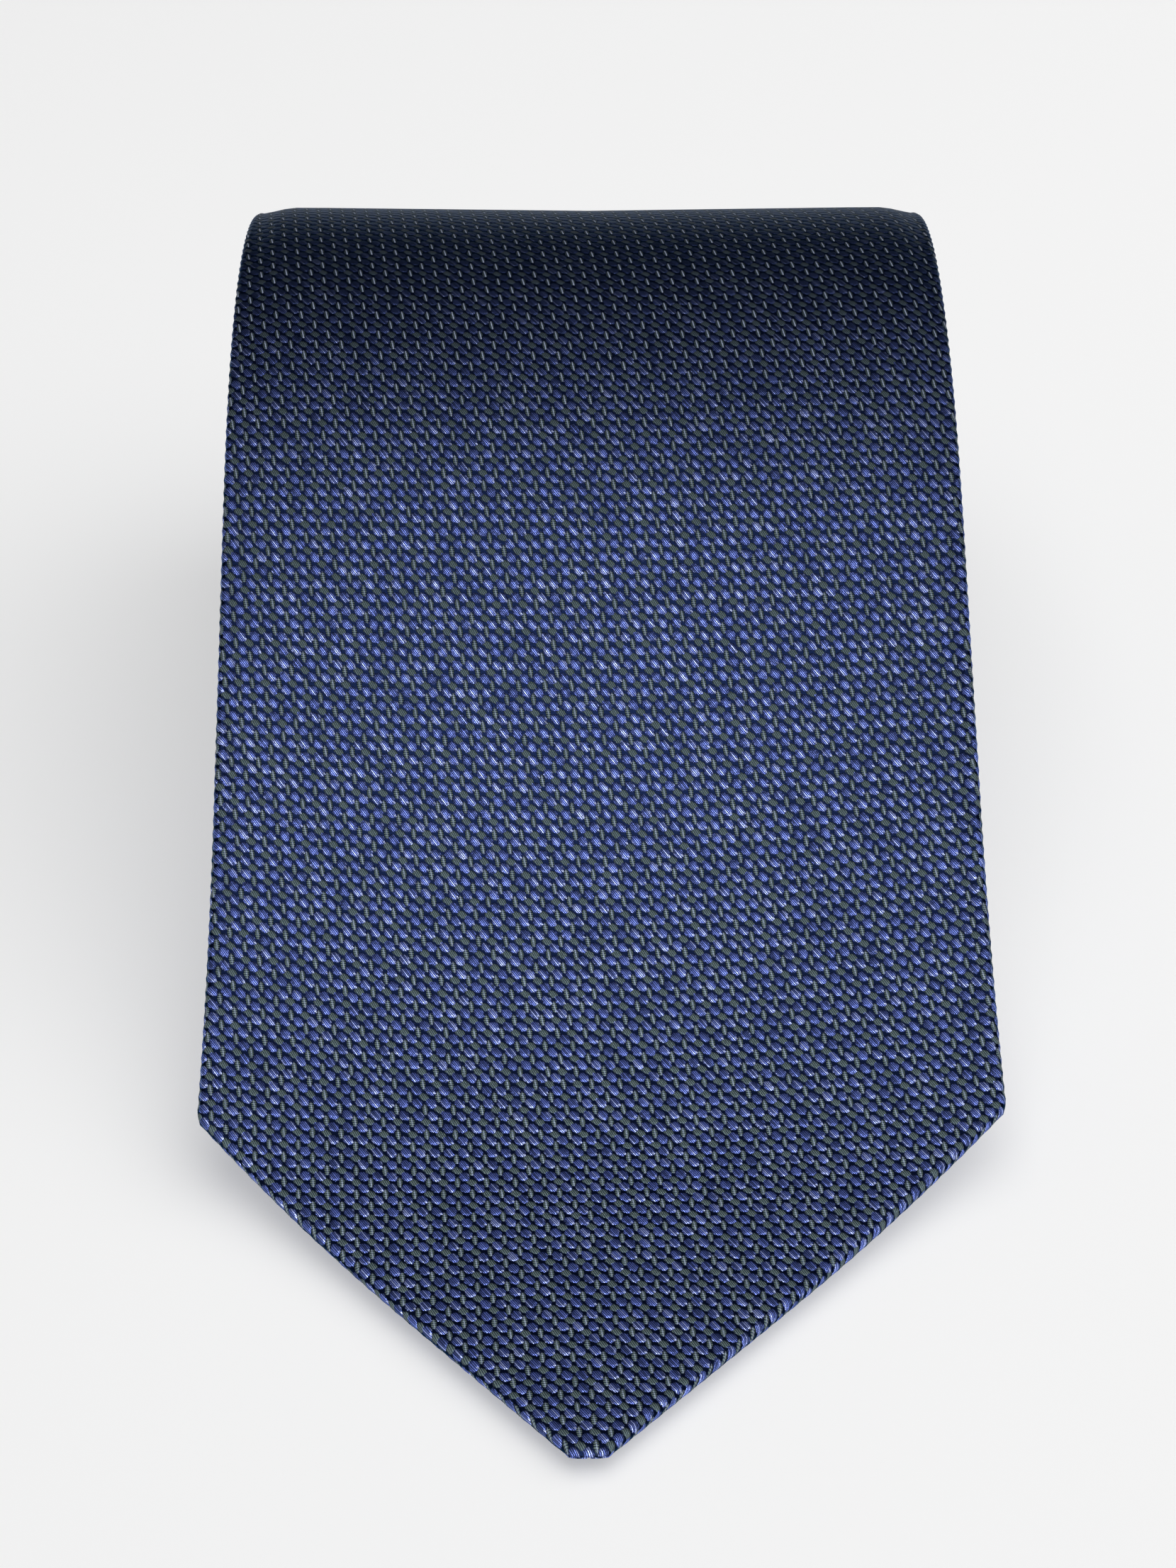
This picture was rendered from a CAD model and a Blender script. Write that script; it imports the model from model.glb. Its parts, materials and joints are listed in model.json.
import bisect
import json
import math

import bmesh
import bpy
from mathutils import Euler, Matrix, Vector


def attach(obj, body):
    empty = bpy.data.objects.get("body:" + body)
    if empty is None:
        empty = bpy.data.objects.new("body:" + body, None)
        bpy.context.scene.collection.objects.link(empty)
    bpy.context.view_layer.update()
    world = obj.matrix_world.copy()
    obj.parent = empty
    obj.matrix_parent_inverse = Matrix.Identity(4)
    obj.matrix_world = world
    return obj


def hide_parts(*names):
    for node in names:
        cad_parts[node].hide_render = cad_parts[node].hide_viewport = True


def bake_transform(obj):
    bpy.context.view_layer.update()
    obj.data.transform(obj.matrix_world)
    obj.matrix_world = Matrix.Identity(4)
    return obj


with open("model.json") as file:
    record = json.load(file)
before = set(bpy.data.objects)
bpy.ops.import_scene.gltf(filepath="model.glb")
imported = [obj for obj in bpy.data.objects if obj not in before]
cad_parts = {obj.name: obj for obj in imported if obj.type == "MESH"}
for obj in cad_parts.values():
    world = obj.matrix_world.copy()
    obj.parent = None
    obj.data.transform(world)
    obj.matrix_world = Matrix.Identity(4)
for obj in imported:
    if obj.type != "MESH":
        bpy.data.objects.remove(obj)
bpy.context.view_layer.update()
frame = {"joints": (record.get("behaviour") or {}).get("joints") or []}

bl_info = {
    "name": "Rolled necktie",
    "version": (1, 0, 0),
    "blender": (4, 5, 0),
    "location": "View3D > Sidebar > Necktie",
    "description": "Builds a rolled necktie in a basket-weave silk around its frame",
    "category": "Object",
}

HINGE = frame["joints"][0]["pos_m"]

# ---- The tie laid flat, in millimetres: s runs from the point of the blade, x across, n below the face ----
MM = 0.001
TIE_LENGTH = 1480.0
BLADE_WIDTH = 80.0
NECK_WIDTH = 36.0
TAIL_WIDTH = 50.0
BLUNT_WIDTH = 3.2
BLADE_PARALLEL = 200.0
NECK_START = 760.0
NECK_LENGTH = 210.0
POINT_STRETCH = 1.09
FLAP_LENGTH = 153.0
FRONT_JOIN = 640.0
TAIL_JOIN = 1060.0
CLOTH = 0.4
LINING = 0.6
TIPPING = 0.3
LAYER_GAP = 0.25
TURN_GAP = 0.25
SEAM_GAP = 0.3
JOIN_GAP = 1.0
HEM = 9.0
BLADE_TACK = 72.0
TAIL_TACK = 50.0
TACK_OPENING = 4.0
TACK_LENGTH = 0.8
KEEPER_START = FLAP_LENGTH - 45.0
KEEPER_HEIGHT = 11.0
KEEPER_WIDTH = 46.0
LABEL_START = KEEPER_START - 13.0
LABEL_HEIGHT = 10.0
LABEL_WIDTH = 40.0
CARE_START = LABEL_START - 33.0
CARE_HEIGHT = 27.0
CARE_WIDTH = 15.0
CARE_OFFSET = 26.0
TOUCH_GAP = 0.3
INNER_MARGIN = 3.0
PATCH_STEP = 0.75
PATCH_COLUMNS = 24
KEEPER_CLOTH = 0.4
KEEPER_RISE = 0.7
LABEL_CLOTH = 0.25
CARE_LIFT = 0.5
KEEPER_STITCH_INSET = 2.0
STITCH_INSET = 1.5
STITCH_RADIUS = 0.12
STITCH_LIFT = 0.08
STITCH_LENGTH = 1.1
STITCH_STEP = 1.4
SEWING_RADIUS = 0.13
LINING_INSET = 4.5
LINING_STEP = 1.6
TIPPING_STEP = 1.2
TIPPING_COLUMNS = 30
LENGTH_GAP = 0.3
BLADE_GAP = 0.05
SEAM_INSET = 0.5
SEAM_REACH = 0.35
SLIP_STEP = 2.5
SLIP_REACH = 0.28
SLIP_MARGIN = 1.5
SEWING_SINK = 0.15
ROLL_STEP = 2.0
TAIL_STEP = 1.6

TIE_THICKNESS = 2 * CLOTH + LINING + 2 * LAYER_GAP
LINING_MIDDLE = CLOTH + LAYER_GAP + LINING / 2
TIPPING_ROOM = TIPPING + LAYER_GAP
TIPPING_MIDDLE = TIE_THICKNESS - CLOTH + TIPPING / 2

# ---- The roll and the slope of the free blade ----
CORE_HEIGHT = 8.0
CORE_DEPTH = 13.0
SIDE_LOOSENESS = 1.23
FLATTENING = 0.62
TURN_PITCH = TIE_THICKNESS + TURN_GAP
SPIRAL_STEP = 1 / 400
BLADE_STEPS = 400
STEEPNESS_RANGE = (0.3, 1.3)
TURNS_RANGE = (2, 40)
SLOPES = (0, 12, 23, 33, 40, 41, 38.5, 33, 26.5, 21.5, 17.5, 4.5, 0.5, 0.5, 0.5)


def between(at, stations):
    """The value at a place along a broken line of (place, value) stations."""
    for (from_at, from_value), (to_at, to_value) in zip(stations, stations[1:]):
        if at <= to_at or (to_at, to_value) == stations[-1]:
            return from_value + (to_value - from_value) * (at - from_at) / (to_at - from_at)


def smooth(value, low, high):
    """0 below low, 1 above high, and a smooth step between."""
    share = min(max((value - low) / (high - low), 0.0), 1.0)
    return share * share * (3 - 2 * share)


def solve(rising, target, low, high):
    """The value between low and high where a rising function reaches its target."""
    for _ in range(50):
        middle = (low + high) / 2
        if rising(middle) < target:
            low = middle
        else:
            high = middle
    return (low + high) / 2


def oval_radii(turn, turns):
    """Half depth and half height of the spiral at a turn."""
    return (
        CORE_DEPTH / 2 + TURN_PITCH * SIDE_LOOSENESS * (turns - turn),
        CORE_HEIGHT / 2 + TURN_PITCH * (turns - turn),
    )


def roll_point(turn, turns):
    """(y, z) of the face of the cloth at a turn of the roll, counted from its crest."""
    depth, height = oval_radii(turn, turns)
    angle = 2 * math.pi * turn
    lowest = oval_radii(0.5, turns)[1] - FLATTENING
    return depth * math.sin(angle), max(lowest + height * math.cos(angle), math.floor(turn) * TURN_PITCH)


def spiral(turns):
    """Points (s, y, z) of the roll from its crest inwards."""
    points = [(FLAP_LENGTH, *roll_point(0, turns))]
    for step in range(1, int(turns / SPIRAL_STEP) + 1):
        place_on_roll = roll_point(step * SPIRAL_STEP, turns)
        s = points[-1][0] + math.dist(place_on_roll, points[-1][1:])
        points.append((s, *place_on_roll))
    return points


def slope_at(share):
    """Slope, in degrees, at a share of the free blade's length from the crest to its point."""
    return between(share * (len(SLOPES) - 1), tuple(enumerate(SLOPES)))


def free_blade(crest, steepness):
    """Points (s, y, z) of the free blade from the crest down to its point."""
    step = FLAP_LENGTH / BLADE_STEPS
    points = [(FLAP_LENGTH, *crest)]
    for i in range(BLADE_STEPS):
        slope = math.radians(slope_at((i + 0.5) / BLADE_STEPS) * steepness)
        s, y, z = points[-1]
        points.append((s - step, y - math.cos(slope) * step, z - math.sin(slope) * step))
    return points


class TiePath:
    """The curve that the tie follows: from its point, up the slope, over the crest and into the roll."""

    def __init__(self):
        turns = solve(lambda n: spiral(n)[-1][0], TIE_LENGTH, *TURNS_RANGE)
        rolled = spiral(turns)
        crest = rolled[0][1:]
        end_slope = math.radians(SLOPES[-1])
        thick = TIE_THICKNESS + TIPPING_ROOM
        steepness = solve(
            lambda k: crest[1] - free_blade(crest, k)[-1][2] + thick * math.cos(end_slope * k),
            crest[1], *STEEPNESS_RANGE,
        )
        points = free_blade(crest, steepness)[:0:-1] + rolled
        self.s = [p[0] for p in points]
        self.s[0] = 0.0
        middle = HINGE[1] / MM
        self.at = [Vector((p[1] + middle, p[2])) for p in points]
        self.inward = []
        for i in range(len(points)):
            along = self.at[min(i + 1, len(points) - 1)] - self.at[max(i - 1, 0)]
            along.normalize()
            self.inward.append(Vector((along.y, -along.x)))

    def place(self, s, x, n):
        """The point in the row frame, in metres, of a point of the flat tie."""
        n = n * pressed(s, x) + crown(s, x)
        x += drift(s)
        s += shrink(s)
        i = min(max(bisect.bisect_left(self.s, s), 1), len(self.s) - 1)
        share = (s - self.s[i - 1]) / (self.s[i] - self.s[i - 1])
        at = self.at[i - 1].lerp(self.at[i], share)
        at += self.inward[i - 1].lerp(self.inward[i], min(max(share, 0), 1)) * n
        return Vector((x, at.x, at.y)) * MM


PATH = TiePath()
HALF_TURN_S = next(s for s, at in zip(PATH.s, PATH.at) if s > FLAP_LENGTH + 60 and at.x < HINGE[1] / MM + 4)

# ---- The cut of the tie ----
BLADE_CORNER = POINT_STRETCH * (BLADE_WIDTH - BLUNT_WIDTH) / 2
TAIL_CORNER = TIE_LENGTH - POINT_STRETCH * (TAIL_WIDTH - BLUNT_WIDTH) / 2
TAIL_TACK_AT = TIE_LENGTH - TAIL_TACK
TIPPING_END = BLADE_TACK + 4
WIDTHS = (
    (0, BLUNT_WIDTH / 2), (BLADE_CORNER, BLADE_WIDTH / 2), (BLADE_PARALLEL, BLADE_WIDTH / 2),
    (NECK_START, NECK_WIDTH / 2), (NECK_START + NECK_LENGTH, NECK_WIDTH / 2),
    (TAIL_CORNER, TAIL_WIDTH / 2), (TIE_LENGTH, BLUNT_WIDTH / 2),
)
OPENINGS = (
    (0, SEAM_GAP / 2), (HEM, SEAM_GAP / 2), (BLADE_CORNER, BLADE_WIDTH / 2 - HEM),
    (BLADE_TACK, TACK_OPENING / 2), (BLADE_TACK + TACK_LENGTH, SEAM_GAP / 2),
    (TAIL_TACK_AT - TACK_LENGTH, SEAM_GAP / 2), (TAIL_TACK_AT, TACK_OPENING / 2),
    (TAIL_CORNER, TAIL_WIDTH / 2 - HEM), (TIE_LENGTH - HEM, SEAM_GAP / 2), (TIE_LENGTH, SEAM_GAP / 2),
)
THICKENINGS = ((0, TIPPING_ROOM), (TIPPING_END, TIPPING_ROOM), (TIPPING_END + 6, 0), (TIE_LENGTH, 0))


def half_width(s):
    return between(s, WIDTHS)


def half_opening(s):
    return between(s, OPENINGS)


def tipping_room(s):
    return between(s, THICKENINGS)


# ---- How the cloth departs from the plain path, in millimetres; the pressings are shares of its depth ----
POINT_ARCH = 3.0
SIDE_RISE = 4.0
CORNER_RISE = 1.2
CREST_RISE = 1.0
CREST_ROUNDING = 0.8
CREST_PRESSING = 0.45
POINT_SHIFT = 1.65
POINT_DRAW = 0.5
POINT_PRESSING = 0.5


def near_crest(s):
    """1 where the cloth passes over the crest of the roll, falling to 0 before and after it."""
    return smooth(s, FLAP_LENGTH - 50, FLAP_LENGTH - 8) * (1 - smooth(s, FLAP_LENGTH + 15, FLAP_LENGTH + 50))


def crown(s, x):
    """How far the cloth lies below the path: arched at the point, raised at the sides, rounded at the crest."""
    across = x / (BLADE_WIDTH / 2)
    edge = half_width(s) / (BLADE_WIDTH / 2)
    arch = POINT_ARCH * (1 - smooth(s, -5, 58)) * (across * across - edge * edge)
    rise = SIDE_RISE * math.exp(-(((s - 75) / 35) ** 2)) * across * across
    rise += CORNER_RISE * math.exp(-(((s - 36) / 16) ** 2)) * abs(across) ** 3
    crest = near_crest(s)
    rise += CREST_RISE * crest * max(-across, 0.0)
    return arch - rise + CREST_ROUNDING * crest * smooth(abs(across), 0.88, 1.0)


def pressed(s, x):
    """The share of its full depth that the folded cloth keeps; its edges are thin at the point and crest."""
    width = half_width(s)
    pressing = max(POINT_PRESSING * (1 - smooth(s, 30, 75)), CREST_PRESSING * near_crest(s))
    return 1 - pressing * smooth(abs(x), width - 9, width - 1)


def drift(s):
    """How far the point of the blade lies to the left."""
    return -POINT_SHIFT * max(1 - s / BLADE_CORNER, 0.0)


def shrink(s):
    """How far the point of the blade is drawn back."""
    return POINT_DRAW * max(1 - s / BLADE_CORNER, 0.0)


# ---- Sizes and colours that a user may change ----
class TIE_PG_weave(bpy.types.PropertyGroup):
    """The cloth of the tie"""

    cell_width: bpy.props.FloatProperty(
        name="Cell width", description="Width of one repeat of the basket weave, in millimetres",
        default=1.416, min=0.5,
    )
    cell_length: bpy.props.FloatProperty(
        name="Cell length", description="Length of one repeat along the tie, in millimetres",
        default=1.53, min=0.5,
    )
    lean: bpy.props.FloatProperty(
        name="Lean", description="How far the columns lean across the tie",
        default=math.radians(5.5), subtype="ANGLE",
    )
    relief: bpy.props.FloatProperty(
        name="Relief", description="Height of the tufts", default=0.00022, subtype="DISTANCE", unit="LENGTH",
        precision=5,
    )
    blue: bpy.props.FloatVectorProperty(
        name="Blue thread", description="Colour of the shiny thread",
        default=(0.135, 0.185, 0.56), subtype="COLOR",
    )
    charcoal: bpy.props.FloatVectorProperty(
        name="Charcoal thread", description="Colour of the dull thread",
        default=(0.085, 0.115, 0.098), subtype="COLOR",
    )
    shade: bpy.props.FloatVectorProperty(
        name="Between the tufts", description="Colour deep in the weave", default=(0.004, 0.008, 0.028),
        subtype="COLOR",
    )
    glint: bpy.props.FloatVectorProperty(
        name="Glint", description="Colour of the fine pale thread",
        default=(0.50, 0.56, 0.76), subtype="COLOR",
    )


class TIE_PG_linings(bpy.types.PropertyGroup):
    """The pieces behind the cloth"""

    satin: bpy.props.FloatVectorProperty(
        name="Tipping", description="Colour of the satin behind the points", default=(0.012, 0.017, 0.045),
        subtype="COLOR",
    )
    wool: bpy.props.FloatVectorProperty(
        name="Interlining", description="Colour of the wool", default=(0.62, 0.57, 0.47), subtype="COLOR"
    )
    thread: bpy.props.FloatVectorProperty(
        name="Thread", description="Colour of the sewing thread",
        default=(0.018, 0.026, 0.075), subtype="COLOR",
    )
    tape: bpy.props.FloatVectorProperty(
        name="Care label", description="Colour of the care label", default=(0.78, 0.76, 0.72), subtype="COLOR"
    )


class TIE_PG_stage(bpy.types.PropertyGroup):
    """Floor, lights and camera"""

    floor_power: bpy.props.FloatProperty(
        name="Floor light", description="Wide softbox that lights the floor", default=9.0, unit="POWER"
    )
    fill_strength: bpy.props.FloatProperty(
        name="Floor fill", description="Even light that lightens the shadow on the floor", default=1.35, min=0
    )
    key_power: bpy.props.FloatProperty(
        name="Overhead", description="Softbox above the tie", default=1.1, unit="POWER"
    )
    glow_power: bpy.props.FloatProperty(
        name="Glow", description="Soft lamp aimed at the slope of the blade", default=10.5, unit="POWER"
    )
    front_power: bpy.props.FloatProperty(
        name="Front", description="Softbox before the tie", default=0.25, unit="POWER"
    )
    surround: bpy.props.FloatProperty(name="Surround", description="Light of the room", default=0.1, min=0)


# ---- Shader maths ----
class Value:
    """A number socket whose arithmetic adds Math nodes."""

    def __init__(self, shader, socket):
        self.shader = shader
        self.socket = socket

    def math(self, operation, *others, **settings):
        return self.shader.add("ShaderNodeMath", {"operation": operation, **settings}, [self, *others])

    def __add__(self, other):
        return self.math("ADD", other)

    def __sub__(self, other):
        return self.math("SUBTRACT", other)

    def __mul__(self, other):
        return self.math("MULTIPLY", other)

    def __truediv__(self, other):
        return self.math("DIVIDE", other)

    __radd__ = __add__
    __rmul__ = __mul__

    def __rsub__(self, other):
        return self.shader.add("ShaderNodeMath", {"operation": "SUBTRACT"}, [other, self])

    def fract(self):
        return self.math("FRACT")

    def floor(self):
        return self.math("FLOOR")

    def abs(self):
        return self.math("ABSOLUTE")

    def sqrt(self):
        return self.math("SQRT")

    def sin(self):
        return self.math("SINE")

    def over(self, low, high):
        """A smooth step from 0 at low to 1 at high."""
        return self.shader.add(
            "ShaderNodeMapRange", {"interpolation_type": "SMOOTHSTEP"},
            {0: self, 1: low, 2: high, 3: 0.0, 4: 1.0},
        )


class Shader:
    """A new material and the nodes in it."""

    def __init__(self, name):
        self.material = bpy.data.materials.new(name)
        self.material.use_nodes = True
        self.tree = self.material.node_tree
        self.surface = self.tree.nodes["Principled BSDF"]

    def add(self, kind, settings=None, inputs=None, output=0):
        """A node of a kind with its settings, then the values or links of its sockets."""
        node = self.tree.nodes.new(kind)
        for key, value in (settings or {}).items():
            setattr(node, key, value)
        pairs = enumerate(inputs) if isinstance(inputs, list) else (inputs or {}).items()
        for key, value in pairs:
            self.feed(node.inputs[key], value)
        return Value(self, node.outputs[output])

    def feed(self, socket, value):
        if isinstance(value, Value):
            self.tree.links.new(value.socket, socket)
        elif hasattr(value, "__len__") and socket.type == "RGBA" and len(value) == 3:
            socket.default_value = (*value, 1.0)
        else:
            socket.default_value = value

    def set(self, **values):
        for key, value in values.items():
            self.feed(self.surface.inputs[key.replace("_", " ")], value)

    def mix(self, factor, low, high):
        """Colour low where factor is 0, high where it is 1."""
        return self.add("ShaderNodeMix", {"data_type": "RGBA"}, {0: factor, 6: low, 7: high}, output=2)

    def flat(self):
        """The two coordinates of the piece's own map."""
        uv = self.add("ShaderNodeUVMap", {"uv_map": "flat"})
        parts = self.add("ShaderNodeSeparateXYZ", {}, [uv])
        return parts, Value(self, parts.socket.node.outputs[1])

    def chance(self, u, v):
        """An even random number for each whole pair of coordinates."""
        cell = self.add("ShaderNodeCombineXYZ", {}, [u, v])
        return self.add("ShaderNodeTexWhiteNoise", {"noise_dimensions": "2D"}, {"Vector": cell})

    def cloud(self, scale, detail=2.0):
        place = self.add("ShaderNodeTexCoord", output=3)
        return self.add("ShaderNodeTexNoise", {}, {"Vector": place, "Scale": scale, "Detail": detail})

    def bump(self, height, distance, strength=1.0):
        normal = self.add("ShaderNodeBump", {}, {"Strength": strength, "Distance": distance, "Height": height})
        self.set(Normal=normal)


# Runs of s, in millimetres, over which the shiny thread sinks before the crest and rises after it
CREST_SINKS = (108.0, 150.0)
CREST_RISES = (165.0, 215.0)


def woven_silk(weave):
    """Basket weave on the bias: shiny blue tufts in rows, and between them dull tufts of two kinds."""
    shader = Shader("woven_silk")
    u, v = shader.flat()
    half = math.sqrt(0.5)

    blue_u = (u + 0.5).fract() - 0.5
    blue_v = (v + 0.5).fract() - 0.5
    tuft_u = (u + 0.5).floor()
    tuft_v = (v + 0.5).floor()
    tone = shader.chance(tuft_u, tuft_v)
    along = (blue_u - blue_v) * half
    across = (blue_u + blue_v) * half
    fray = (shader.cloud(2600) - 0.5) * 0.55
    blue_r = ((along / 0.46) * (along / 0.46) + (across / 0.38) * (across / 0.38)).sqrt() + fray
    blue_mask = 1 - blue_r.over(0.8, 1.0)
    blue_height = 1 - (blue_r * blue_r).over(0.0, 1.3)
    strand = across * 7.5 + along * 1.5
    strand_tone = shader.chance(tuft_u * 16 + strand.floor(), tuft_v)
    strand_round = 1 - (strand.fract() - 0.5).abs().over(0.15, 0.48)

    dull_u = u.fract() - 0.5
    dull_v = v.fract() - 0.5
    odd = ((u.floor() + v.floor()) * 0.5).fract() * 2
    narrow_r = ((dull_u / 0.21) * (dull_u / 0.21) + (dull_v / 0.44) * (dull_v / 0.44)).sqrt()
    slant = dull_u + dull_v * 0.45
    wide_r = ((slant / 0.36) * (slant / 0.36) + (dull_v / 0.34) * (dull_v / 0.34)).sqrt()
    dull_r = wide_r * odd + narrow_r * (1 - odd) + fray
    dull_mask = (1 - dull_r.over(0.8, 1.05)) * (1 - blue_mask)
    dull_height = 1 - (dull_r * dull_r).over(0.0, 1.3)
    hatch = (dull_v * 2 * math.pi * 6.5 * (1 - odd) + (dull_u * 2 + dull_v) * 2 * math.pi * 3.4 * odd).sin()

    sinks, rises = [[s / weave.cell_length for s in run] for run in (CREST_SINKS, CREST_RISES)]
    sunk = v.over(*sinks) * (1 - v.over(*rises))
    stroke_u = (dull_u + dull_v * 0.12 - 0.02) / 0.06
    stroke = (1 - stroke_u.abs().over(0.3, 1.0)) * (1 - dull_v.abs().over(0.36, 0.46)) * (1 - odd)
    spark_u = (along - 0.32) / 0.14
    spark_v = (across - 0.05) / 0.06
    spark = (1 - (spark_u * spark_u + spark_v * spark_v).over(0.3, 1.2)) * tone.over(0.3, 0.6) * (1 - sunk)

    blue_light = shader.mix(strand_tone, [c * 0.4 for c in weave.blue], [c * 1.6 for c in weave.blue])
    blue = shader.mix(strand_round * (1 - 0.85 * sunk), weave.shade, blue_light)
    dull = shader.mix(hatch.over(-0.4, 0.6) * (0.9 - 0.6 * sunk) + 0.6 * sunk, weave.charcoal, weave.shade)
    colour = shader.mix(dull_mask, weave.shade, dull)
    blue = shader.mix(strand_tone.over(0.78, 0.9) * strand_round * (0.5 - 0.4 * sunk), blue, weave.glint)
    colour = shader.mix(blue_mask, colour, blue)
    colour = shader.mix(stroke * (0.1 + 0.25 * tone + 0.5 * sunk), colour, weave.glint)
    colour = shader.mix(spark * 0.8, colour, weave.glint)

    height = blue_height * blue_mask * (0.75 + 0.2 * strand_round + 0.05 * strand_tone)
    height = height + dull_height * dull_mask * (0.78 + 0.1 * hatch)
    gap = 1 - (blue_mask + dull_mask)
    shader.set(Base_Color=colour, Metallic=blue_mask * 0.7 + gap, Roughness=0.5 - 0.1 * blue_mask)
    shader.set(IOR=1.5, Specular_Tint=(0.5, 0.72, 1.0))
    shader.bump(height, weave.relief)
    return shader.material


def lining_satin(colours):
    """Plain satin whose fine ribs run across the bias."""
    shader = Shader("lining_satin")
    u, v = shader.flat()
    ribs = ((u + v) * 2 * math.pi * 4).sin()
    slubs = shader.cloud(90)
    colour = shader.mix(slubs, [c * 0.8 for c in colours.satin], [c * 1.6 for c in colours.satin])
    shader.set(Base_Color=colour, Roughness=0.34 + 0.1 * slubs, Sheen_Weight=0.1)
    shader.bump(ribs * 0.5 + slubs, 0.00004)
    return shader.material


def brushed_wool(colours):
    shader = Shader("brushed_wool")
    fibres = shader.cloud(1400, 4.0)
    colour = shader.mix(fibres, [c * 0.75 for c in colours.wool], colours.wool)
    shader.set(Base_Color=colour, Roughness=0.95, Sheen_Weight=0.3)
    shader.bump(fibres, 0.0002)
    return shader.material


def twisted_thread(colours):
    shader = Shader("twisted_thread")
    place = shader.add("ShaderNodeTexCoord", output=3)
    parts = shader.add("ShaderNodeSeparateXYZ", {}, [place])
    y = Value(shader, parts.socket.node.outputs[1])
    twist = ((parts + y) * 9000).sin()
    colour = shader.mix(0.5 + 0.5 * twist, [c * 0.6 for c in colours.thread], [c * 1.5 for c in colours.thread])
    shader.set(Base_Color=colour, Roughness=0.45, Sheen_Weight=0.1)
    shader.bump(twist, 0.00003)
    return shader.material


def label_weave(name, colour_base, border):
    """Blank ribbon with fine ribs and a plain woven border."""
    shader = Shader(name)
    u, v = shader.flat()
    ribs = (u * 2 * math.pi * 2.2).sin() * 0.5 + (v * 2 * math.pi * 2.2).sin() * 0.5
    slubs = shader.cloud(700)
    colour = shader.mix(0.3 * slubs + 0.2 * ribs + 0.2, colour_base, border)
    shader.set(Base_Color=colour, Roughness=0.5, Sheen_Weight=0.1)
    shader.bump(ribs, 0.00004)
    return shader.material


# ---- Making pieces ----
def new_object(name, bm, material):
    bmesh.ops.recalc_face_normals(bm, faces=bm.faces)
    mesh = bpy.data.meshes.new(name)
    bm.to_mesh(mesh)
    bm.free()
    obj = bpy.data.objects.new(name, mesh)
    bpy.context.scene.collection.objects.link(obj)
    mesh.materials.append(material)
    for polygon in mesh.polygons:
        polygon.use_smooth = True
    return obj


def thicken(obj, thickness):
    """Gives a sheet its thickness, half on each side."""
    solidify = obj.modifiers.new("cloth", "SOLIDIFY")
    solidify.thickness = thickness * MM
    solidify.offset = 0
    solidify.use_even_offset = False
    with bpy.context.temp_override(object=obj, active_object=obj, selected_objects=[obj]):
        bpy.ops.object.modifier_apply(modifier=solidify.name)
    return obj


def spaced(start, end, step):
    count = max(1, round((end - start) / step))
    return [start + (end - start) * i / count for i in range(count + 1)]


def laid_sheet(name, columns, rows, shape, material):
    """A grid whose vertices are laid by shape(column, row), which gives s, x, n and the two map coordinates."""
    bm = bmesh.new()
    bmesh.ops.create_grid(bm, x_segments=len(columns) - 1, y_segments=len(rows) - 1, size=0.5, calc_uvs=True)
    uv = bm.loops.layers.uv.verify()
    last = (len(columns) - 1, len(rows) - 1)
    laid = {}
    for vert in bm.verts:
        at = [round((vert.co[axis] + 0.5) * last[axis]) for axis in (0, 1)]
        s, x, n, map_u, map_v = shape(columns[at[0]], rows[at[1]])
        vert.co = PATH.place(s, x, n)
        laid[vert] = (map_u, map_v)
    for face in bm.faces:
        for loop in face.loops:
            loop[uv].uv = laid[loop.vert]
    obj = new_object(name, bm, material)
    obj.data.uv_layers[0].name = "flat"
    return obj


FACE_COLUMNS = 60
FOLD_COLUMNS = 7
BACK_COLUMNS = 14
EDGE_RIPPLE = 0.07
FACE_DIP = 0.22
END_ROWS = (0, 0.03, 0.12, 0.3, 0.6)
END_ROUNDING = 1.0
STRIP_COLUMNS = 12
NARROWEST = 0.6


def even_columns(count):
    return [-1 + 2 * i / count for i in range(count + 1)]


def section_columns():
    """Places across the folded cloth: -3 to -2 left flap, to -1 left fold, to 1 face, to 2 fold, to 3 flap."""
    face = even_columns(FACE_COLUMNS)
    fold = [1 + i / FOLD_COLUMNS for i in range(1, FOLD_COLUMNS + 1)]
    back = [2 + i / BACK_COLUMNS for i in range(1, BACK_COLUMNS + 1)]
    outer = fold + back
    return [-c for c in reversed(outer)] + face + outer


def folded(column, s, weave, closed_start=False, closed_end=False):
    """Lays a point of the folded cloth: face, fold at the edge, and flap behind."""
    side = math.copysign(1, column)
    part = abs(column)
    width = half_width(s)
    room = tipping_room(s)
    radius = (TIE_THICKNESS + room - CLOTH) / 2
    radius_x = min(radius, width * 0.6)
    straight = width - radius_x
    middle = CLOTH / 2 + radius
    if part <= 1:
        across = part * straight
        x, n, cloth_x = across, CLOTH / 2, across
    elif part <= 2:
        angle = (part - 1) * math.pi
        x = straight + radius_x * math.sin(angle)
        n = middle - radius * math.cos(angle)
        cloth_x = straight + (part - 1) * math.pi * radius
    else:
        across = straight + (half_opening(s) - straight) * (part - 2)
        x, n = across, middle + radius
        cloth_x = straight + math.pi * radius + (straight - across)
    for closed, distance in ((closed_start, s), (closed_end, TIE_LENGTH - s)):
        if closed and distance < radius:
            n = middle + (n - middle) * math.sqrt(max(1 - (1 - distance / radius) ** 2, 0.0))
    if part <= 1:
        n += FACE_DIP * smooth(x, width - HEM, width)
    elif part < 2:
        x += EDGE_RIPPLE * math.sin((part - 1) * math.pi) * math.cos(2 * math.pi * s / weave.cell_length)
    map_u = (side * cloth_x + s * math.tan(weave.lean)) / weave.cell_width
    return s, side * x, n, map_u, s / weave.cell_length


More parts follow.
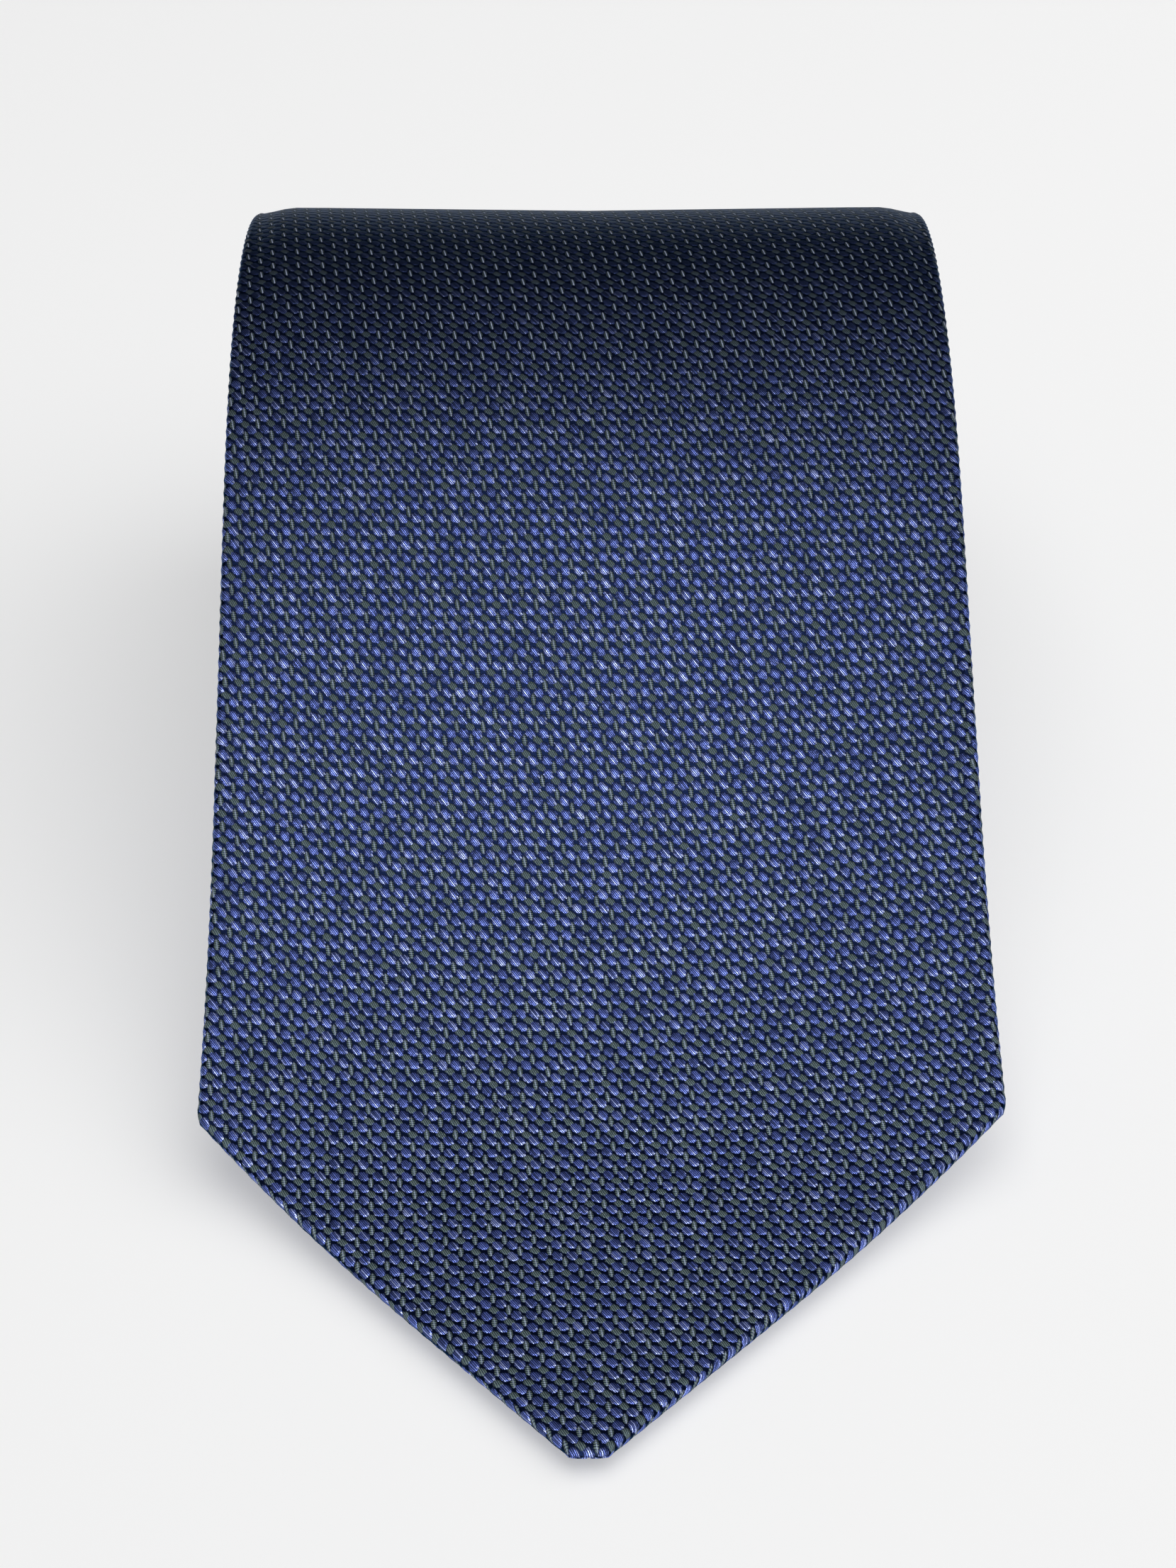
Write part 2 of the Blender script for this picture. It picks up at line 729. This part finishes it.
def cut(rows, width_at):
    """Flat size and area, in metres, of a sheet with a width at each row."""
    area = sum((b - a) * width_at((a + b) / 2) for a, b in zip(rows, rows[1:]))
    return (max(width_at(s) for s in rows) * MM, (rows[-1] - rows[0]) * MM), area * MM * MM


def folded_cloth(name, start, end, step, material, weave):
    """A length of the tie's cloth, folded to the back along both edges."""
    closed_start = start <= 0
    closed_end = end >= TIE_LENGTH
    rows = spaced(start, end, step)
    if closed_start:
        rows = [*END_ROWS, *spaced(END_ROUNDING, end, step)]
    if closed_end:
        rows = spaced(start, TIE_LENGTH - END_ROUNDING, step) + [TIE_LENGTH - d for d in reversed(END_ROWS)]
    obj = laid_sheet(
        name, section_columns(), rows, lambda c, s: folded(c, s, weave, closed_start, closed_end), material
    )
    thicken(obj, CLOTH)
    return obj, *cut(rows, lambda s: 2 * (2 * half_width(s) - half_opening(s)))


def plain_strip(name, start, end, step, inset, n, thickness, material, columns=STRIP_COLUMNS):
    """A flat length of lining cloth inside the tie, from edge to edge less an inset."""
    rows = spaced(start, end, step)

    def half(s):
        return max(half_width(s) - inset, NARROWEST)

    def lay(column, s):
        x = column * half(s)
        return s, x, n, x, s

    obj = laid_sheet(name, even_columns(columns), rows, lay, material)
    thicken(obj, thickness)
    return obj, *cut(rows, lambda s: 2 * half(s))


def thread_along(name, points, radius, material, resolution=3):
    """A round thread through points in the row frame, as a mesh."""
    curve = bpy.data.curves.new(name, "CURVE")
    curve.dimensions = "3D"
    curve.bevel_depth = radius * MM
    curve.bevel_resolution = resolution - 1
    curve.use_fill_caps = True
    for run in points:
        spline = curve.splines.new("POLY")
        spline.points.add(len(run) - 1)
        for point, place in zip(spline.points, run):
            point.co = (*place, 1)
    source = bpy.data.objects.new(name + "_line", curve)
    bpy.context.scene.collection.objects.link(source)
    bpy.context.view_layer.update()
    mesh = bpy.data.meshes.new_from_object(source.evaluated_get(bpy.context.evaluated_depsgraph_get()))
    bpy.data.objects.remove(source)
    bm = bmesh.new()
    bm.from_mesh(mesh)
    bpy.data.meshes.remove(mesh)
    bmesh.ops.remove_doubles(bm, verts=bm.verts, dist=1e-7)
    return new_object(name, bm, material)


def settle(obj, nodes, body=None):
    """Gives a piece its slot, its CAD nodes and its body, or bends it from the roll to the blade."""
    if nodes:
        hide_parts(*nodes)
    if body:
        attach(obj, body)
    else:
        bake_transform(obj)


MATERIALS = {}


def material_of(name):
    """Each finish is made once."""
    scene = bpy.context.scene
    makers = {
        "woven_silk": lambda: woven_silk(scene.tie_weave),
        "lining_satin": lambda: lining_satin(scene.tie_linings),
        "brushed_wool": lambda: brushed_wool(scene.tie_linings),
        "twisted_thread": lambda: twisted_thread(scene.tie_linings),
        "label_ribbon": lambda: label_weave("label_ribbon", scene.tie_linings.satin, scene.tie_linings.thread),
        "care_tape": lambda: label_weave("care_tape", scene.tie_linings.tape, [0.6, 0.58, 0.54]),
    }
    if name not in MATERIALS:
        MATERIALS[name] = makers[name]()
    return MATERIALS[name]


# ---- Operators ----
class TIE_OT_front_blade(bpy.types.Operator):
    """Makes the front blade from its point to half round the roll, and the cloth of its inner turns"""

    bl_idname = "tie.front_blade"
    bl_label = "Front blade"

    def execute(self, context):
        weave = context.scene.tie_weave
        silk = material_of("woven_silk")
        blade, flat, area = folded_cloth("front_blade", 0, HALF_TURN_S, weave.cell_length / 2, silk, weave)
        settle(blade, ["front_blade_flap"])
        end = FRONT_JOIN - JOIN_GAP / 2
        start = HALF_TURN_S + BLADE_GAP
        turns, flat, area = folded_cloth("front_blade_inner_turns", start, end, ROLL_STEP, silk, weave)
        settle(turns, ["front_blade_rolled"], "roll")
        return {"FINISHED"}


class TIE_OT_neck_and_tail(bpy.types.Operator):
    """Makes the neck piece, the tail and the seams that join them"""

    bl_idname = "tie.neck_and_tail"
    bl_label = "Neck and tail"

    def execute(self, context):
        weave = context.scene.tie_weave
        silk = material_of("woven_silk")
        thread = material_of("twisted_thread")
        half_gap = JOIN_GAP / 2
        for name, node, start, end, under in (
            ("neck", "neck_piece", FRONT_JOIN + half_gap, TAIL_JOIN - half_gap, "tail"),
            ("tail", "tail_blade", TAIL_JOIN + half_gap, TIE_LENGTH, "neck"),
        ):
            piece, flat, area = folded_cloth(name, start, end, TAIL_STEP, silk, weave)
            settle(piece, [node], "roll")
        for name, at in (("front_neck_seam", FRONT_JOIN), ("neck_tail_seam", TAIL_JOIN)):
            width = half_width(at) - SEAM_INSET
            count = round(2 * width)
            run = []
            for i in range(count + 1):
                run.append(PATH.place(at + SEAM_REACH * (-1) ** i, -width + 2 * width * i / count, CLOTH / 2))
            seam = thread_along(name + "_stitches", [run], STITCH_RADIUS, thread)
            settle(seam, [name], "roll")
        return {"FINISHED"}


class TIE_OT_interlining(bpy.types.Operator):
    """Makes the wool interlining"""

    bl_idname = "tie.interlining"
    bl_label = "Interlining"

    def execute(self, context):
        wool = material_of("brushed_wool")
        middle = NECK_START + NECK_LENGTH / 2
        for name, nodes, start, end, body in (
            ("wool_blade", ["interlining_flap"], INNER_MARGIN, HALF_TURN_S, None),
            ("wool_rolled", ["interlining_rolled"], HALF_TURN_S + 0.2, middle - LENGTH_GAP / 2, "roll"),
            ("wool_tail", ["interlining_tail"], middle + LENGTH_GAP / 2, TIE_LENGTH - INNER_MARGIN, "roll"),
        ):
            piece, flat, area = plain_strip(
                name, start, end, LINING_STEP, LINING_INSET, LINING_MIDDLE, LINING, wool
            )
            settle(piece, nodes, body)
        return {"FINISHED"}


class TIE_OT_tipping(bpy.types.Operator):
    """Makes the satin behind both points"""

    bl_idname = "tie.tipping"
    bl_label = "Tipping"

    def execute(self, context):
        satin = material_of("lining_satin")
        for name, node, start, end, inset, body in (
            ("blade_tipping_satin", "blade_tipping", INNER_MARGIN, TIPPING_END, LINING_INSET, "blade"),
            ("tail_tipping_satin", "tail_tipping", TAIL_TACK_AT + 2, TIE_LENGTH - HEM, HEM + 0.4, "roll"),
        ):
            piece, flat, area = plain_strip(
                name, start, end, TIPPING_STEP, inset, TIPPING_MIDDLE, TIPPING, satin, TIPPING_COLUMNS
            )
            settle(piece, [node], body)
        return {"FINISHED"}


class TIE_OT_sewing(bpy.types.Operator):
    """Makes the slip stitch and the bar tacks"""

    bl_idname = "tie.sewing"
    bl_label = "Slip stitch and bar tacks"

    def execute(self, context):
        thread = material_of("twisted_thread")
        depth = TIE_THICKNESS - SEWING_SINK
        stitch_end = TAIL_TACK_AT - SLIP_MARGIN
        for name, node, start, end, body in (
            ("slip_stitch_blade", "slip_stitch_flap", BLADE_TACK + SLIP_MARGIN, HALF_TURN_S, None),
            ("slip_stitch_roll", "slip_stitch_rolled", HALF_TURN_S + LENGTH_GAP, stitch_end, "roll"),
        ):
            run = []
            for i, s in enumerate(spaced(start, end, SLIP_STEP)):
                run.append(PATH.place(s, SLIP_REACH * (-1) ** i, depth + tipping_room(s)))
            piece = thread_along(name, [run], SEWING_RADIUS, thread)
            settle(piece, [node], body)
        for name, node, at, body in (
            ("bar_tack_blade", "blade_bar_tack", BLADE_TACK - 0.9, "blade"),
            ("bar_tack_tail", "tail_bar_tack", TAIL_TACK_AT + 0.9, "roll"),
        ):
            runs = []
            for i in range(5):
                s = at - 0.5 + 0.25 * i
                n = TIE_THICKNESS + tipping_room(s) - SEWING_SINK
                runs.append([PATH.place(s, x, n) for x in spaced(-1.5, 1.5, 0.5)])
            piece = thread_along(name, runs, SEWING_RADIUS, thread)
            settle(piece, [node], body)
        return {"FINISHED"}


def back_patch(name, node, middle, width, start, height, thickness, stand, material):
    """A patch sewn to the back of the blade; stand(share across, share along) is how far it stands off."""
    back = TIE_THICKNESS + TOUCH_GAP + thickness / 2

    def lay(column, s):
        x = middle + column * width / 2
        along = (s - start) / height
        n = back + tipping_room(s) + stand(column, along)
        return s, x, n, x, s

    rows = spaced(start, start + height, PATCH_STEP)
    obj = laid_sheet(name, even_columns(PATCH_COLUMNS), rows, lay, material)
    thicken(obj, thickness)
    settle(obj, [node], "blade")
    return obj


class TIE_OT_keeper_and_labels(bpy.types.Operator):
    """Makes the keeper loop, the two blank labels and their stitches"""

    bl_idname = "tie.keeper_and_labels"
    bl_label = "Keeper loop and labels"

    def execute(self, context):
        thread = material_of("twisted_thread")
        back_patch(
            "keeper", "keeper_loop", 0, KEEPER_WIDTH, KEEPER_START, KEEPER_HEIGHT, KEEPER_CLOTH,
            lambda column, along: KEEPER_RISE * (1 - smooth(abs(column), 0.45, 0.85)),
            material_of("woven_silk"),
        )
        back_patch(
            "label", "maker_label", 0, LABEL_WIDTH, LABEL_START, LABEL_HEIGHT, LABEL_CLOTH,
            lambda column, along: 0.0, material_of("label_ribbon"),
        )
        back_patch(
            "care_tag", "care_label", CARE_OFFSET, CARE_WIDTH, CARE_START, CARE_HEIGHT, LABEL_CLOTH,
            lambda column, along: CARE_LIFT * (1 - along) ** 2, material_of("care_tape"),
        )
        keeper_x = KEEPER_WIDTH / 2 - KEEPER_STITCH_INSET
        label_x = LABEL_WIDTH / 2 - STITCH_INSET
        rows = (
            ("keeper_stitches_left", "keeper_stitch_left", -keeper_x, KEEPER_START + 2, 7, KEEPER_CLOTH),
            ("keeper_stitches_right", "keeper_stitch_right", keeper_x, KEEPER_START + 2, 7, KEEPER_CLOTH),
            ("label_stitches_left", "label_stitch_left", -label_x, LABEL_START + 1, 8, LABEL_CLOTH),
            ("label_stitches_right", "label_stitch_right", label_x, LABEL_START + 1, 8, LABEL_CLOTH),
        )
        for name, node, x, start, length, below in rows:
            n = TIE_THICKNESS + TOUCH_GAP + below + STITCH_LIFT
            runs = []
            for s in spaced(start, start + length - STITCH_LENGTH, STITCH_STEP):
                along = [s + d for d in (0, 0.25, 0.55, 0.85, STITCH_LENGTH)]
                runs.append([PATH.place(at, x, n + tipping_room(at)) for at in along])
            settle(thread_along(name, runs, STITCH_RADIUS, thread), [node], "blade")
        s = CARE_START + CARE_HEIGHT - STITCH_INSET
        n = TIE_THICKNESS + TOUCH_GAP + LABEL_CLOTH + STITCH_LIFT + tipping_room(s)
        runs = []
        for x in spaced(CARE_OFFSET - 6.5, CARE_OFFSET + 5.4, STITCH_STEP):
            runs.append([PATH.place(s, x + d, n) for d in (0, 0.3, 0.6, 0.9, STITCH_LENGTH)])
        stitches = thread_along("care_tag_stitches", runs, STITCH_RADIUS, thread)
        settle(stitches, ["care_label_stitch"], "blade")
        return {"FINISHED"}


# ---- Stage ----
CAMERA_PLACE = (-0.00092, HINGE[1] - 0.3323, HINGE[2] + 0.15666)
CAMERA_ELEVATION = math.radians(35.04)
CAMERA_ROLL = math.radians(-0.776)
CAMERA_LENS = 71.6


def aimed_lamp(name, kind, place, target, power, receivers):
    """A lamp that looks at a target; the collection says which objects it lights."""
    data = bpy.data.lights.new(name, kind)
    data.energy = power
    lamp = bpy.data.objects.new(name, data)
    lamp.location = place
    lamp.rotation_euler = (Vector(target) - Vector(place)).to_track_quat("-Z", "Y").to_euler()
    lamp.light_linking.receiver_collection = receivers
    bpy.context.scene.collection.objects.link(lamp)
    return data


def softbox(name, place, target, width, depth, power, receivers):
    data = aimed_lamp(name, "AREA", place, target, power, receivers)
    data.shape = "RECTANGLE"
    data.size = width
    data.size_y = depth
    return data


FLOOR_LIGHT_PLACE = (0.3, 0.0, 0.9)
FLOOR_LIGHT_SIZE = 1.8
FILL_PLACE = (0, 0, 1.5)
OVERHEAD_PLACE = (0.05, -0.15, 0.65)
OVERHEAD_TARGET = (0, -0.02, 0)
FRONT_PLACE = (0, -0.45, 0.2)
FRONT_TARGET = (0, -0.13, 0)
FRONT_SPREAD = math.radians(36)
GLOW_PLACE = (0.02, -0.23, 0.5)
GLOW_TARGET = (0, -0.04, 0)
GLOW_CONE = math.radians(21)
GLOW_RADIUS = 0.08
MIDDLE = (0, 0, 0)
FLOOR_HALF = 6
FLOOR_COLOUR = (0.92, 0.92, 0.92)


class TIE_OT_stage(bpy.types.Operator):
    """Makes the pale floor, the soft lights and the camera"""

    bl_idname = "tie.stage"
    bl_label = "Stage"

    def execute(self, context):
        stage = context.scene.tie_stage
        floor_shader = Shader("pale_floor")
        floor_shader.set(Base_Color=FLOOR_COLOUR, Roughness=0.9, Specular_IOR_Level=0.1)
        bm = bmesh.new()
        bmesh.ops.create_grid(bm, x_segments=1, y_segments=1, size=FLOOR_HALF)
        floor = new_object("floor", bm, floor_shader.material)

        world = bpy.data.worlds.new("room")
        world.use_nodes = True
        world.node_tree.nodes["Background"].inputs["Color"].default_value = (1, 1, 1, 1)
        world.node_tree.nodes["Background"].inputs["Strength"].default_value = stage.surround
        context.scene.world = world
        floor_only = bpy.data.collections.new("floor_only")
        floor_only.objects.link(floor)
        tie_only = bpy.data.collections.new("tie_only")
        tie_only.objects.link(floor)
        tie_only.collection_objects[0].light_linking.link_state = "EXCLUDE"
        side = FLOOR_LIGHT_SIZE
        softbox("floor_light", FLOOR_LIGHT_PLACE, MIDDLE, side, side, stage.floor_power, floor_only)
        fill = aimed_lamp("floor_fill", "SUN", FILL_PLACE, MIDDLE, stage.fill_strength, floor_only)
        fill.use_shadow = False
        softbox("overhead", OVERHEAD_PLACE, OVERHEAD_TARGET, 0.7, 0.45, stage.key_power, tie_only)
        front = softbox("front", FRONT_PLACE, FRONT_TARGET, 0.4, 0.2, stage.front_power, tie_only)
        front.spread = FRONT_SPREAD
        glow = aimed_lamp("glow", "SPOT", GLOW_PLACE, GLOW_TARGET, stage.glow_power, tie_only)
        glow.shadow_soft_size = GLOW_RADIUS
        glow.spot_size = GLOW_CONE
        glow.spot_blend = 1.0

        data = bpy.data.cameras.new("camera")
        data.lens = CAMERA_LENS
        data.sensor_width = 36
        camera = bpy.data.objects.new("camera", data)
        camera.location = CAMERA_PLACE
        tilt = Euler((math.pi / 2 - CAMERA_ELEVATION, 0, 0)).to_matrix()
        camera.rotation_euler = (tilt @ Matrix.Rotation(CAMERA_ROLL, 3, "Z")).to_euler()
        context.scene.collection.objects.link(camera)
        context.scene.camera = camera
        context.scene.view_settings.view_transform = "Standard"
        return {"FINISHED"}


OPERATORS = (
    TIE_OT_stage, TIE_OT_front_blade, TIE_OT_neck_and_tail, TIE_OT_interlining, TIE_OT_tipping, TIE_OT_sewing,
    TIE_OT_keeper_and_labels,
)


class TIE_PT_panel(bpy.types.Panel):
    """Lists the pieces of the necktie"""

    bl_idname = "TIE_PT_panel"
    bl_label = "Necktie"
    bl_space_type = "VIEW_3D"
    bl_region_type = "UI"
    bl_category = "Necktie"

    def draw(self, context):
        for operator in OPERATORS:
            self.layout.operator(operator.bl_idname)
        for group in (context.scene.tie_weave, context.scene.tie_linings, context.scene.tie_stage):
            for name in group.bl_rna.properties.keys():
                if name not in {"rna_type", "name"}:
                    self.layout.prop(group, name)


GROUPS = {"tie_weave": TIE_PG_weave, "tie_linings": TIE_PG_linings, "tie_stage": TIE_PG_stage}


def register():
    for group in GROUPS.values():
        bpy.utils.register_class(group)
    for name, group in GROUPS.items():
        setattr(bpy.types.Scene, name, bpy.props.PointerProperty(type=group))
    for cls in (*OPERATORS, TIE_PT_panel):
        bpy.utils.register_class(cls)


def unregister():
    for cls in (TIE_PT_panel, *reversed(OPERATORS)):
        bpy.utils.unregister_class(cls)
    for name, group in GROUPS.items():
        delattr(bpy.types.Scene, name)
        bpy.utils.unregister_class(group)


def main():
    register()
    for operator in OPERATORS:
        module, name = operator.bl_idname.split(".")
        getattr(getattr(bpy.ops, module), name)()


if __name__ == "__main__":
    main()
